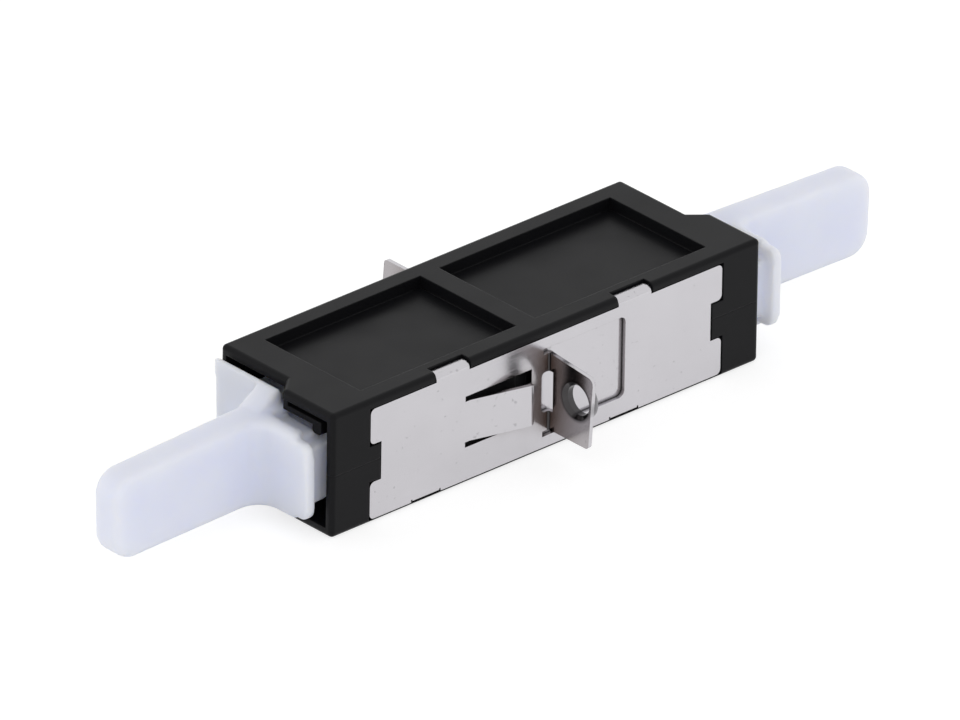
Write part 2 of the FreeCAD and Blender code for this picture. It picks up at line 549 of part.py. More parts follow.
    slot_back = "dims.ear_place - dims.fold_slot_back"
    fold_slot = rectangle(body, f"{label}_fold_slot", "XZ_Plane", f"{PLATE_FACE} + dims.fold_slot_out",
                          slot_back, f"{ear_back} + dims.sheet",
                          "-dims.fold_slot_fall", "dims.fold_slot_rise")
    slot = pocket(body, fold_slot, "dims.sheet * 2 + dims.fold_slot_out")
    ends = edges_at(slot.Shape, x=number(slot_back), test=along_y)
    dress(body, "Fillet", f"{label}_slot_ends", slot, ends, "dims.fold_slot_back / 2")

    screw_side = "-dims.screw_spacing / 2"
    collar = circle(body, f"{label}_collar", "YZ_Plane", ear_back, screw_side, "0",
                    "dims.screw_hole + 2 * dims.collar_wall")
    pad(body, collar, "dims.collar_length")
    hole = circle(body, f"{label}_screw_hole", "YZ_Plane", "dims.ear_place",
                  screw_side, "0", "dims.screw_hole")
    drilled = pocket(body, hole, "dims.sheet + dims.collar_length", True)
    hole_side = number(f"{screw_side} + dims.screw_hole / 2")
    rim = edges_at(drilled.Shape, x=number("dims.ear_place"), y=hole_side)
    dress(body, "Chamfer", f"{label}_screw_entry", drilled, rim, "dims.collar_entry")

    place(body, FreeCAD.Vector(1, 0, 0), rear)
    return body


def make_backing_plate(label, rear):
    """Flat sheet behind the window and the fold's slot of a side plate."""
    body = new_body(label)
    blank = rectangle(body, f"{label}_flat", "XZ_Plane", f"{BACKING_FACE} - dims.backing_sheet",
                      f"-{BACKING_LEFT}", "dims.backing_right", f"-{BACKING_TALL}", BACKING_TALL)
    pad(body, blank, "dims.backing_sheet")
    place(body, FreeCAD.Vector(1, 0, 0), rear)
    return body


def make_sleeve_holder(label, left):
    """Flanged tube that holds half of the alignment sleeve, drawn as the right one."""
    body = new_body(label)
    start = "dims.fit_gap / 2"
    wide, tall = "dims.flange_width / 2", "dims.flange_height / 2"
    pad(body, rectangle(body, f"{label}_flange", "YZ_Plane", start, f"-{wide}", wide, f"-{tall}", tall),
        f"dims.flange_thickness - {start}")
    pad(body, circle(body, f"{label}_tube", "YZ_Plane", start, "0", "0", "dims.tube_diameter"),
        f"dims.tube_length - {start}")
    room = circle(body, f"{label}_room", "YZ_Plane", "0", "0", "0", f"{SLEEVE_OUTER} + 2 * dims.sleeve_play")
    pocket(body, room, "dims.sleeve_length / 2 + dims.sleeve_play", True)
    mouth = circle(body, f"{label}_mouth", "YZ_Plane", "0",
                   "0", "0", "dims.sleeve_bore + 2 * dims.sleeve_play")
    opened = pocket(body, mouth, "dims.tube_length", True)
    rim_side = number("dims.sleeve_bore / 2 + dims.sleeve_play")
    rim = edges_at(opened.Shape, x=number("dims.tube_length"), y=rim_side)
    dress(body, "Chamfer", f"{label}_lead", opened, rim, "dims.tube_lead")
    place(body, FreeCAD.Vector(0, 0, 1), left)
    return body


def make_split_sleeve(label):
    """Slit ceramic tube that lines up the two ferrules."""
    body = new_body(label)
    start = "-dims.sleeve_length / 2"
    pad(body, circle(body, f"{label}_tube", "YZ_Plane", start, "0", "0", SLEEVE_OUTER), "dims.sleeve_length")
    pocket(body, circle(body, f"{label}_bore", "YZ_Plane", start, "0", "0", "dims.sleeve_bore"),
           "dims.sleeve_length", True)
    slit = rectangle(body, f"{label}_slit", "XY_Plane", "0", start, "dims.sleeve_length / 2",
                     "-dims.sleeve_slit / 2", "dims.sleeve_slit / 2")
    pocket(body, slit, "dims.sleeve_bore", True)
    place(body, FreeCAD.Vector(0, 0, 1), False)
    return body


def make_dust_plug(label, right):
    """Plug with a grip blade, a near wing and a far flange, drawn as the left one."""
    body = new_body(label)
    lip_back = f"({FAR_END} + dims.plug_seat)"
    lip_front = f"({lip_back} + dims.lip_thickness)"
    lip_side = f"({HALF_WIDTH} - dims.lip_side_rim)"
    lip_high, lip_low = f"({HALF_HEIGHT} - dims.lip_edge_rim)", f"(dims.lip_low_rim - {HALF_HEIGHT})"
    wing_front = f"({HALF_LENGTH} + dims.wing_stand)"
    wing_back = f"({HALF_LENGTH} + dims.wing_stand - dims.wing_thickness)"
    wing_side = f"({HALF_WIDTH} - dims.wing_rim)"
    blade_tip = f"({HALF_LENGTH} + dims.blade_reach)"
    near = "(dims.blade_shift - dims.blade_thickness / 2)"
    far = "(dims.blade_shift + dims.blade_thickness / 2)"
    high, low = f"({HALF_HEIGHT} - dims.blade_rim)", f"(dims.blade_rim - {HALF_HEIGHT})"
    stem_side = f"({CHANNEL_SIDE} - dims.stem_side_play)"
    stem_tall = f"({CHANNEL_ROOF} - dims.stem_roof_play)"
    stem_end = "(dims.tube_length + dims.stem_clear)"
    flare = f"{far} + 2 * dims.root_far"

    grip = pad(body, outline(body, f"{label}_grip", "XY_Plane", low, [
        (f"-{blade_tip}", near), (f"-{blade_tip}", far), (f"-{lip_front}", far),
        (f"-{lip_front}", flare), (f"-{lip_back}", flare),
        (f"-{lip_back}", near), (f"-{wing_back}", near), (f"-{wing_back}", f"-{wing_side}"),
        (f"-{wing_front}", f"-{wing_side}"), (f"-{wing_front}", near),
    ]), f"{high} - {low}")
    crease = edges_at(grip.Shape, x=-number(wing_front), y=number(near), test=along_z)
    root = dress(body, "Fillet", f"{label}_near_root", grip, crease, "dims.root_near")
    crease = edges_at(root.Shape, x=-number(lip_front), y=number(far), test=along_z)
    dress(body, "Fillet", f"{label}_far_root", root, crease, "dims.root_far")
    for side, edge, way in (("upper", high, "-"), ("lower", low, "+")):
        taper = outline(body, f"{label}_{side}_taper", "XZ_Plane", "0", [
            (f"-{lip_back} + dims.lip_thickness", edge),
            (f"-{blade_tip}", f"{edge} {way} dims.blade_taper"), (f"-{blade_tip}", edge),
        ])
        pocket(body, taper, "2 * dims.body_width", both=True)
    for side, edge, beyond in (("upper", f"{high} - dims.wing_step", HALF_HEIGHT),
                               ("lower", f"-{HALF_HEIGHT}", f"{low} + dims.wing_step")):
        step = rectangle(body, f"{label}_{side}_step", "YZ_Plane", f"-{wing_back}",
                         f"-{HALF_WIDTH}", f"-{wing_side} + dims.wing_end", edge, beyond)
        pocket(body, step, "dims.wing_thickness")
    stepped = body.Tip
    outer = edges_at(stepped.Shape, y=-number(wing_side), test=along_x)
    shaped = dress(body, "Fillet", f"{label}_wing_corners", stepped, outer, "dims.wing_corner")
    tip = edges_at(shaped.Shape, x=-number(blade_tip), test=along_y)
    shaped = dress(body, "Fillet", f"{label}_tip_corners", shaped, tip, "dims.blade_corner")
    long_edges = []
    for side, root_end in ((near, f"-{wing_front} - dims.root_near"),
                           (far, f"-{lip_front} - dims.root_far")):
        limit = number(root_end) - TOLERANCE
        long_edges += edges_at(shaped.Shape, y=number(side),
                               test=lambda first, second: min(first.x, second.x) < limit)
    dress(body, "Fillet", f"{label}_blade_edges", shaped, long_edges,
          "min(dims.blade_round; dims.lip_thickness * 0.9)")

    pad(body, rectangle(body, f"{label}_neck", "YZ_Plane", f"-{lip_back}",
                        f"-{stem_side}", far, f"-{stem_tall}", stem_tall), f"{wing_back} - {lip_back}", True)
    lip = pad(body, rectangle(body, f"{label}_lip", "YZ_Plane", f"-{lip_back}",
                              "-dims.step_inner + dims.fit_gap", lip_side, lip_low, lip_high),
              "dims.lip_thickness", True)
    outer = edges_at(lip.Shape, y=number(lip_side), test=along_x)
    lip = dress(body, "Fillet", f"{label}_lip_corners", lip, outer, "dims.lip_corner")
    rim = edges_at(lip.Shape, x=-number(lip_front), y=number(lip_side), test=along_z)
    dress(body, "Chamfer", f"{label}_lip_rim", lip, rim, "dims.lip_bevel")
    stem = pad(body, rectangle(body, f"{label}_stem", "YZ_Plane", f"-{stem_end}",
                               f"-{stem_side}", stem_side, f"-{stem_tall}", stem_tall),
               f"{lip_back} - {stem_end}", True)
    inner = edges_at(stem.Shape, x=-number(stem_end))
    dress(body, "Chamfer", f"{label}_lead", stem, inner, "dims.stem_lead")
    core_side, core_tall = f"({stem_side} - dims.core_wall)", f"({stem_tall} - dims.core_wall)"
    core = rectangle(body, f"{label}_core", "YZ_Plane", f"-{stem_end}",
                     f"-{core_side}", core_side, f"-{core_tall}", core_tall)
    pocket(body, core, f"{lip_back} - dims.core_floor - {stem_end}")

    place(body, FreeCAD.Vector(0, 1, 0), right)
    slant = f"atan(dims.plug_droop / ({HALF_LENGTH} - {stem_end}))"
    back = f"{stem_end} * (1 - cos({slant}))"
    body.setExpression("Placement.Rotation.Angle", f"180 deg + {slant}" if right else f"-{slant}")
    body.setExpression("Placement.Base.x", f"dims.plug_drawn + {back}" if right else f"-{back}")
    body.setExpression("Placement.Base.z", f"{HALF_HEIGHT} + {stem_end} * sin({slant})")
    return body


pieces = [
    make_shell("upper_shell", False),
    make_shell("lower_shell", True),
    make_side_plate("front_side_plate", False),
    make_side_plate("rear_side_plate", True),
    make_backing_plate("front_backing_plate", False),
    make_backing_plate("rear_backing_plate", True),
    make_sleeve_holder("left_sleeve_holder", True),
    make_sleeve_holder("right_sleeve_holder", False),
    make_split_sleeve("split_sleeve"),
    make_dust_plug("left_dust_plug", False),
    make_dust_plug("right_dust_plug", True),
]

doc.recompute()
for item in doc.Objects:
    if "Invalid" in item.State or "Error" in item.State:
        raise RuntimeError(f"{item.Name} failed: {item.State}")
for piece in pieces:
    if piece.Shape.isNull() or not piece.Shape.isValid() or len(piece.Shape.Solids) != 1:
        raise RuntimeError(f"{piece.Label} is not one valid solid")

os.makedirs("parts", exist_ok=True)
for piece in pieces:
    piece.Shape.exportStep(f"parts/{piece.Label}.step")
    box = piece.Shape.BoundBox
    sides = f"{box.XLength:.2f} x {box.YLength:.2f} x {box.ZLength:.2f} mm"
    print(f"{piece.Label}: {piece.Shape.Volume:.1f} mm3, {sides}")
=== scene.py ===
import math

import bmesh
import bpy
from mathutils import Matrix, Vector


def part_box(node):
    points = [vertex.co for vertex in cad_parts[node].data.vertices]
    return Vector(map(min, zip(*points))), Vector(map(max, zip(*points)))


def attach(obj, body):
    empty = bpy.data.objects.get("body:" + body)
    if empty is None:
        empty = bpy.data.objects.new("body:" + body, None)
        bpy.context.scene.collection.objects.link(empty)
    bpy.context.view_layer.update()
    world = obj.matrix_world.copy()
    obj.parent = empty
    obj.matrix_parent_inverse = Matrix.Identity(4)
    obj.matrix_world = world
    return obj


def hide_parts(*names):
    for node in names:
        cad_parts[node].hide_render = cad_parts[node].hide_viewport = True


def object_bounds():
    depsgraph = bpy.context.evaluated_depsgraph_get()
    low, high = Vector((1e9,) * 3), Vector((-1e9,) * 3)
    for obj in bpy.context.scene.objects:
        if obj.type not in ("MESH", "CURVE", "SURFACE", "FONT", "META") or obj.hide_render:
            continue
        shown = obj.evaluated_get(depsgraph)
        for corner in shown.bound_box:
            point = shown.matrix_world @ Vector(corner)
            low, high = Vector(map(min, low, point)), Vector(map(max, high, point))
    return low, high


bl_info = {
    "name": "Latching Fibre Adapter",
    "version": (1, 0, 0),
    "blender": (4, 5, 0),
    "location": "3D View > Sidebar > Fibre Adapter",
    "description": "Finishes the pieces of a latching fibre adapter and sets it on a studio stage",
    "category": "Material",
}

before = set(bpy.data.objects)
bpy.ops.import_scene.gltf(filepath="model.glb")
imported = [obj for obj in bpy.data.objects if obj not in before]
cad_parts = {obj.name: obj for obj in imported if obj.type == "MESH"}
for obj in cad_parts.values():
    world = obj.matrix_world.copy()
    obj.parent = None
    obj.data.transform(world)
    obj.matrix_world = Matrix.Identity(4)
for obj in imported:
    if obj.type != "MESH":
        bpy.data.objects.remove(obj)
cad_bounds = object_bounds()

MM = 0.001

# Most of a noise texture lies between these values
NOISE_LOW, NOISE_HIGH = 0.3, 0.7

# Refractive indices typical of the materials
POLYESTER_IOR = 1.55
POLYETHYLENE_IOR = 1.51
ZIRCONIA_IOR = 2.1

# Shares of a material's own tone
GRAIN_TONE = 1.35
HOLDER_GRAIN_TONE = 1.3
CLOUD_TONES = (0.94, 1.06)
SPECK_TONE = 0.45
# Share of the steel's tone in its painted shade, in narrow gaps, on the drawn hole's wall and in the fold's
# inner bend
GAP_SHADE_TONE = 0.08
RIPPLE_TONES = (0.97, 1.03)
RING_TONE = 0.96

# How strongly specks darken the steel, and how strongly painted shade darkens it in narrow gaps, on the drawn
# hole's wall and in the fold's inner bend
SPECK_SHARE = 0.35
GAP_SHADE_SHARE = 0.9
HOLE_CREASE_SHADE_SHARE = 0.93

# How far red, green and blue light go inside a plug, as shares of its spread
PLUG_SCATTER = (1.15, 1.08, 0.95)

# A mask is out at this multiple of its reach
MASK_FADE = 1.2

# Length over which the bands of a wave texture repeat at a scale of 1
WAVE_LENGTH = 2 * math.pi / 20

# Stage, in lengths of the part: the floor's side, the softbox's side and its place from the part's middle
FLOOR_SIDE = 40
SOFTBOX_SIDE = 6
SOFTBOX_PLACE = (-1.5, -1.5, 6)

# The floor lies this far under the part, so that their faces stay apart
FLOOR_GAP = 0.02 * MM

# Camera's sensor, in millimetres
SENSOR_WIDTH = 36.0

WHITE = (1.0, 1.0, 1.0, 1.0)

SHELLS = ("upper_shell", "lower_shell")
SIDE_PLATES = ("front_side_plate", "rear_side_plate")
BACKING_PLATES = ("front_backing_plate", "rear_backing_plate")
SLEEVE_HOLDERS = ("left_sleeve_holder", "right_sleeve_holder")
SLEEVES = ("split_sleeve",)
DUST_PLUGS = {"left_dust_plug": "left_plug", "right_dust_plug": "right_plug"}


def linear(hex_colour):
    """An sRGB hex colour as linear red, green and blue."""
    digits = hex_colour.lstrip("#")
    channels = [int(digits[i:i + 2], 16) / 255 for i in (0, 2, 4)]
    return tuple(c / 12.92 if c <= 0.04045 else ((c + 0.055) / 1.055) ** 2.4 for c in channels)


def per_metre(width):
    """Pattern scale at which one cell is as wide as the given length in metres."""
    return 1 / width


def opaque(colour):
    """A colour with full alpha, as the colour sockets take it."""
    return (*colour, 1.0)


def toned(colour, share):
    """A lighter or darker tone of a colour, as the colour sockets take it."""
    return opaque([min(1.0, share * c) for c in colour])


def add_node(tree, kind, inputs=None, **settings):
    """Adds a node with its settings; an input is a value or the socket that feeds it."""
    node = tree.nodes.new(kind)
    for name, value in settings.items():
        setattr(node, name, value)
    for name, value in (inputs or {}).items():
        if isinstance(value, bpy.types.NodeSocket):
            tree.links.new(value, node.inputs[name])
        else:
            node.inputs[name].default_value = value
    return node


def new_material(name):
    """An empty node material and its tree."""
    material = bpy.data.materials.new(name)
    material.use_nodes = True
    material.node_tree.nodes.clear()
    return material, material.node_tree


def assign(nodes, material):
    """Gives the named pieces a material in place of their plain one."""
    for node in nodes:
        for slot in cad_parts[node].material_slots:
            slot.material = material


def close_to(tree, place, point, reach, any_height=False):
    """1 within reach of a point on either side of the part, or of the upright line through it, and 0 away."""
    here = add_node(tree, "ShaderNodeSeparateXYZ", {"Vector": place})
    out = add_node(tree, "ShaderNodeMath", {0: here.outputs["Y"]}, operation="ABSOLUTE")
    folded = add_node(tree, "ShaderNodeCombineXYZ", {
        "X": here.outputs["X"], "Y": out.outputs["Value"],
        "Z": point[2] if any_height else here.outputs["Z"]})
    away = add_node(tree, "ShaderNodeVectorMath", {
        0: folded.outputs["Vector"], 1: point}, operation="DISTANCE")
    near = add_node(tree, "ShaderNodeMapRange", {
        "Value": away.outputs["Value"], "From Min": reach, "From Max": MASK_FADE * reach,
        "To Min": 1.0, "To Max": 0.0})
    return near.outputs["Result"]


def seen_rays(tree):
    """1 for rays of the camera, of mirrors and through clear pieces, and 0 for rays that light the part."""
    path = add_node(tree, "ShaderNodeLightPath").outputs
    mirrored = add_node(tree, "ShaderNodeMath", {
        0: path["Is Camera Ray"], 1: path["Is Glossy Ray"]}, operation="MAXIMUM")
    seen = add_node(tree, "ShaderNodeMath", {
        0: mirrored.outputs["Value"], 1: path["Is Transmission Ray"]}, operation="MAXIMUM")
    return seen.outputs["Value"]


def moulded_housing_plastic(finish):
    """Glass-filled polyester moulded against a spark-eroded tool: a matt black with a fine even grain,
    a faint clouding of the gloss where the melt flowed, and soft light along its moulded edges."""
    material, tree = new_material("glass_filled_polyester_spark_eroded_black")
    place = add_node(tree, "ShaderNodeTexCoord").outputs["Object"]
    grain = add_node(tree, "ShaderNodeTexNoise", {
        "Vector": place, "Scale": per_metre(finish.grain), "Detail": 3.0, "Roughness": 0.6})
    flow = add_node(tree, "ShaderNodeTexNoise", {
        "Vector": place, "Scale": per_metre(finish.flow), "Detail": 2.0, "Roughness": 0.5})
    gloss = add_node(tree, "ShaderNodeMapRange", {
        "Value": flow.outputs["Fac"], "From Min": NOISE_LOW, "From Max": NOISE_HIGH,
        "To Min": finish.roughness - 0.05, "To Max": finish.roughness + 0.05})
    shade = add_node(tree, "ShaderNodeMix", {
        "Factor": grain.outputs["Fac"], "A": opaque(finish.colour),
        "B": toned(finish.colour, GRAIN_TONE)}, data_type="RGBA")
    edges = add_node(tree, "ShaderNodeBevel", {"Radius": finish.edge}, samples=4)
    relief = add_node(tree, "ShaderNodeBump", {
        "Height": grain.outputs["Fac"], "Strength": 0.35, "Distance": finish.grain_depth,
        "Normal": edges.outputs["Normal"]})
    surface = add_node(tree, "ShaderNodeBsdfPrincipled", {
        "Base Color": shade.outputs["Result"], "Roughness": gloss.outputs["Result"], "IOR": POLYESTER_IOR,
        "Specular IOR Level": finish.specular, "Normal": relief.outputs["Normal"]})
    add_node(tree, "ShaderNodeOutputMaterial", {"Surface": surface.outputs["BSDF"]})
    return material


def rolled_spring_steel(name, finish):
    """Stainless spring steel, cold rolled bright, blanked and folded: a soft mirror drawn out along the
    rolling direction, fine lines of the rolls, a scatter of small handling specks, a brownish painted shade
    near the folds and over the ear, and a dark painted shade in narrow gaps, on the drawn hole's wall and in
    the fold's inner bend."""
    material, tree = new_material(name)
    texture = add_node(tree, "ShaderNodeTexCoord")
    place = texture.outputs["Object"]
    along = add_node(tree, "ShaderNodeMapping", {
        "Vector": place, "Scale": (finish.line / finish.line_length, 1.0, 1.0)})
    lines = add_node(tree, "ShaderNodeTexNoise", {
        "Vector": along.outputs["Vector"], "Scale": per_metre(finish.line), "Detail": 3.0, "Roughness": 0.6})
    clouds = add_node(tree, "ShaderNodeTexNoise", {
        "Vector": place, "Scale": per_metre(finish.cloud), "Detail": 3.0, "Roughness": 0.55})
    specks = add_node(tree, "ShaderNodeTexNoise", {
        "Vector": place, "Scale": per_metre(finish.speck), "Detail": 1.0, "Roughness": 0.4})
    speck_mask = add_node(tree, "ShaderNodeMapRange", {
        "Value": specks.outputs["Fac"], "From Min": 0.70, "From Max": 0.78,
        "To Min": 0.0, "To Max": SPECK_SHARE})
    tone = add_node(tree, "ShaderNodeMix", {
        "Factor": clouds.outputs["Fac"], "A": toned(finish.colour, CLOUD_TONES[0]),
        "B": toned(finish.colour, CLOUD_TONES[1])}, data_type="RGBA")
    marked = add_node(tree, "ShaderNodeMix", {
        "Factor": speck_mask.outputs["Result"], "A": tone.outputs["Result"],
        "B": toned(finish.colour, SPECK_TONE)}, data_type="RGBA")
    # Painted shade: a brownish dark laid near the folds, where the steel is hemmed in, and over the ear's
    # faces, which face along the part
    in_fold = add_node(tree, "ShaderNodeAmbientOcclusion", {"Distance": finish.fold}, samples=8,
                       only_local=True)
    fold_shade_mask = add_node(tree, "ShaderNodeMapRange", {
        "Value": in_fold.outputs["AO"], "From Min": 0.5, "From Max": 0.85, "To Min": 1.0, "To Max": 0.0})
    ear_shade_mask = add_node(tree, "ShaderNodeMapRange", {
        "Value": in_fold.outputs["AO"], "From Min": 0.65, "From Max": 0.97, "To Min": 1.0, "To Max": 0.4})
    facing = add_node(tree, "ShaderNodeSeparateXYZ", {"Vector": texture.outputs["Normal"]})
    across = add_node(tree, "ShaderNodeMath", {0: facing.outputs["X"]}, operation="ABSOLUTE")
    turned = add_node(tree, "ShaderNodeMapRange", {
        "Value": across.outputs["Value"], "From Min": 0.25, "From Max": 0.7})
    on_ear = add_node(tree, "ShaderNodeMath", {
        0: turned.outputs["Result"], 1: ear_shade_mask.outputs["Result"]}, operation="MULTIPLY")
    film_shade = add_node(tree, "ShaderNodeMath", {
        0: fold_shade_mask.outputs["Result"], 1: on_ear.outputs["Value"]}, operation="MAXIMUM")
    film_shaded = add_node(tree, "ShaderNodeMix", {
        "Factor": film_shade.outputs["Value"], "A": marked.outputs["Result"],
        "B": opaque(finish.film_shade)}, data_type="RGBA")
    # Painted shade: the steel darkens where another surface closes in on it within a narrow gap
    in_gap = add_node(tree, "ShaderNodeAmbientOcclusion", {"Distance": finish.gap}, samples=8)
    gap_shade_mask = add_node(tree, "ShaderNodeMapRange", {
        "Value": in_gap.outputs["AO"], "From Min": 0.4, "From Max": 0.9,
        "To Min": GAP_SHADE_SHARE, "To Max": 0.0})
    # Painted shade on the wall of the drawn hole and in the inner bend of the ear's fold
    bent = add_node(tree, "ShaderNodeMapRange", {
        "Value": across.outputs["Value"], "From Min": 0.03, "From Max": 0.15})
    crease = add_node(tree, "ShaderNodeMath", {
        0: close_to(tree, place, finish.crease, finish.crease_shade_reach, any_height=True),
        1: bent.outputs["Result"]}, operation="MULTIPLY")
    hole_and_crease = add_node(tree, "ShaderNodeMath", {
        0: close_to(tree, place, finish.hole, finish.hole_shade_reach),
        1: crease.outputs["Value"]}, operation="MAXIMUM")
    hole_crease_shade = add_node(tree, "ShaderNodeMath", {
        0: hole_and_crease.outputs["Value"], 1: HOLE_CREASE_SHADE_SHARE}, operation="MULTIPLY")
    dark = add_node(tree, "ShaderNodeMath", {
        0: gap_shade_mask.outputs["Result"], 1: hole_crease_shade.outputs["Value"]}, operation="MAXIMUM")
    darkened = add_node(tree, "ShaderNodeMix", {
        "Factor": dark.outputs["Value"], "A": film_shaded.outputs["Result"],
        "B": toned(finish.colour, GAP_SHADE_TONE)}, data_type="RGBA")
    gloss = add_node(tree, "ShaderNodeMapRange", {
        "Value": lines.outputs["Fac"], "From Min": NOISE_LOW, "From Max": NOISE_HIGH,
        "To Min": finish.roughness - 0.03, "To Max": finish.roughness + 0.05})
    edges = add_node(tree, "ShaderNodeBevel", {"Radius": finish.edge}, samples=4)
    relief = add_node(tree, "ShaderNodeBump", {
        "Height": lines.outputs["Fac"], "Strength": 0.12, "Distance": finish.line_depth,
        "Normal": edges.outputs["Normal"]})
    surface = add_node(tree, "ShaderNodeBsdfPrincipled", {
        "Base Color": darkened.outputs["Result"], "Metallic": 1.0, "Roughness": gloss.outputs["Result"],
        "Normal": relief.outputs["Normal"]})
    add_node(tree, "ShaderNodeOutputMaterial", {"Surface": surface.outputs["BSDF"]})
    return material


def moulded_plug_polyethylene(finish):
    """Low-density polyethylene moulded in a polished tool: waxy and translucent, cool white, with light
    that spreads inside it and a slight ripple left by shrinkage."""
    material, tree = new_material("low_density_polyethylene_moulded_natural")
    place = add_node(tree, "ShaderNodeTexCoord").outputs["Object"]
    ripple = add_node(tree, "ShaderNodeTexNoise", {
        "Vector": place, "Scale": per_metre(finish.ripple), "Detail": 2.0, "Roughness": 0.5})
    skin = add_node(tree, "ShaderNodeTexNoise", {
        "Vector": place, "Scale": per_metre(finish.grain), "Detail": 2.0, "Roughness": 0.5})
    tone = add_node(tree, "ShaderNodeMix", {
        "Factor": ripple.outputs["Fac"], "A": toned(finish.colour, RIPPLE_TONES[0]),
        "B": toned(finish.colour, RIPPLE_TONES[1])}, data_type="RGBA")
    gloss = add_node(tree, "ShaderNodeMapRange", {
        "Value": skin.outputs["Fac"], "From Min": NOISE_LOW, "From Max": NOISE_HIGH,
        "To Min": finish.roughness - 0.05, "To Max": finish.roughness + 0.07})
    relief = add_node(tree, "ShaderNodeBump", {
        "Height": ripple.outputs["Fac"], "Strength": 0.25, "Distance": finish.ripple_depth})
    surface = add_node(tree, "ShaderNodeBsdfPrincipled", {
        "Base Color": tone.outputs["Result"], "Roughness": gloss.outputs["Result"],
        "IOR": POLYETHYLENE_IOR, "Subsurface Weight": 1.0, "Subsurface Radius": PLUG_SCATTER,
        "Subsurface Scale": finish.spread,
        "Normal": relief.outputs["Normal"]}, subsurface_method="RANDOM_WALK")
    add_node(tree, "ShaderNodeOutputMaterial", {"Surface": surface.outputs["BSDF"]})
    return material


def ground_zirconia(finish):
    """Zirconia ceramic, centreless ground: dense white with a low sheen and fine grinding rings."""
    material, tree = new_material("zirconia_centreless_ground")
    place = add_node(tree, "ShaderNodeTexCoord").outputs["Object"]
    rings = add_node(tree, "ShaderNodeTexWave", {
        "Vector": place, "Scale": WAVE_LENGTH * per_metre(finish.ring), "Distortion": 2.0, "Detail": 2.0},
        bands_direction="X")
    tone = add_node(tree, "ShaderNodeMix", {
        "Factor": rings.outputs["Fac"], "A": opaque(finish.ceramic),
        "B": toned(finish.ceramic, RING_TONE)}, data_type="RGBA")
    relief = add_node(tree, "ShaderNodeBump", {
        "Height": rings.outputs["Fac"], "Strength": 0.2, "Distance": finish.ring / 20})
    surface = add_node(tree, "ShaderNodeBsdfPrincipled", {
        "Base Color": tone.outputs["Result"], "Roughness": finish.ceramic_roughness, "IOR": ZIRCONIA_IOR,
        "Normal": relief.outputs["Normal"]})
    add_node(tree, "ShaderNodeOutputMaterial", {"Surface": surface.outputs["BSDF"]})
    return material


def moulded_holder_plastic(finish):
    """Unfilled polyester moulded in a smooth tool: charcoal, lighter and glossier than the housing."""
    material, tree = new_material("polyester_moulded_charcoal")
    place = add_node(tree, "ShaderNodeTexCoord").outputs["Object"]
    grain = add_node(tree, "ShaderNodeTexNoise", {
        "Vector": place, "Scale": per_metre(finish.grain), "Detail": 2.0})
    tone = add_node(tree, "ShaderNodeMix", {
        "Factor": grain.outputs["Fac"], "A": opaque(finish.holder),
        "B": toned(finish.holder, HOLDER_GRAIN_TONE)}, data_type="RGBA")
    relief = add_node(tree, "ShaderNodeBump", {
        "Height": grain.outputs["Fac"], "Strength": 0.2, "Distance": finish.grain / 10})
    surface = add_node(tree, "ShaderNodeBsdfPrincipled", {
        "Base Color": tone.outputs["Result"], "Roughness": finish.holder_roughness, "IOR": POLYESTER_IOR,
        "Normal": relief.outputs["Normal"]})
    add_node(tree, "ShaderNodeOutputMaterial", {"Surface": surface.outputs["BSDF"]})
    return material


def studio_floor(stage):
    """Pale sweep paper: evenly lit where it is seen or mirrored, and shaded where the part stands."""
    material, tree = new_material("studio_paper_pale")
    seen = seen_rays(tree)
    share = add_node(tree, "ShaderNodeMath", {0: seen, 1: stage.floor_glow}, operation="MULTIPLY")
    paper = add_node(tree, "ShaderNodeBsdfDiffuse", {"Color": opaque(stage.floor_colour)})
    glow = add_node(tree, "ShaderNodeEmission", {
        "Color": WHITE, "Strength": stage.floor_level})
    mixed = add_node(tree, "ShaderNodeMixShader", {
        0: share.outputs["Value"], 1: paper.outputs["BSDF"], 2: glow.outputs["Emission"]})
    add_node(tree, "ShaderNodeOutputMaterial", {"Surface": mixed.outputs["Shader"]})
    return material


def prism(outline, near, far):
    """Corners and faces of an outline of X and Z drawn out along Y."""
    count = len(outline)
    corners = [Vector((x, y, z)) for y in (near, far) for x, z in outline]
    rims = [tuple(range(count)), tuple(range(2 * count - 1, count - 1, -1))]
    sides = [(i, count + i, count + (i + 1) % count, (i + 1) % count) for i in range(count)]
    return corners, rims + sides


def plug_fills(form):
    """What the plug's moulding fills round its blade, in the frame of the left plug before it hangs."""
    edge = [(-form.flange_back, form.blade_rise), (-form.flange_back, form.flange_rise),
            (-form.flange_front, form.flange_rise)]
    ramp = [*edge, (-form.ramp_foot, form.blade_rise)]
    flange = [*edge, (-form.flange_front, form.blade_rise)]
    neck = [(-form.flange_back, 0), (-form.flange_back, form.neck_rise),
            (-form.wing_back, form.neck_rise), (-form.wing_back, 0)]
    collar = [(-form.collar_back, 0), (-form.collar_back, form.blade_rise),
              (-form.wing_back, form.blade_rise), (-form.wing_back, 0)]
    return [
        prism(ramp, form.flange_near, form.blade_far),
        prism(flange, form.flange_near, form.flange_far),
        prism(neck, form.neck_side, form.blade_near),
        prism(collar, form.neck_side, form.blade_near),
    ]


def hang_plug(form, right):
    """From the frame of the left plug, before it hangs, to where this plug hangs in its mouth."""
    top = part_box("upper_shell")[1].z
    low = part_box("lower_shell")[0].z
    along = form.pivot + form.drawn if right else -form.pivot
    angle = math.pi + form.droop if right else -form.droop
    seat = Matrix.Translation((along, 0, (top + low) / 2))
    return seat @ Matrix.Rotation(angle, 4, "Y") @ Matrix.Translation((form.pivot, 0, 0))


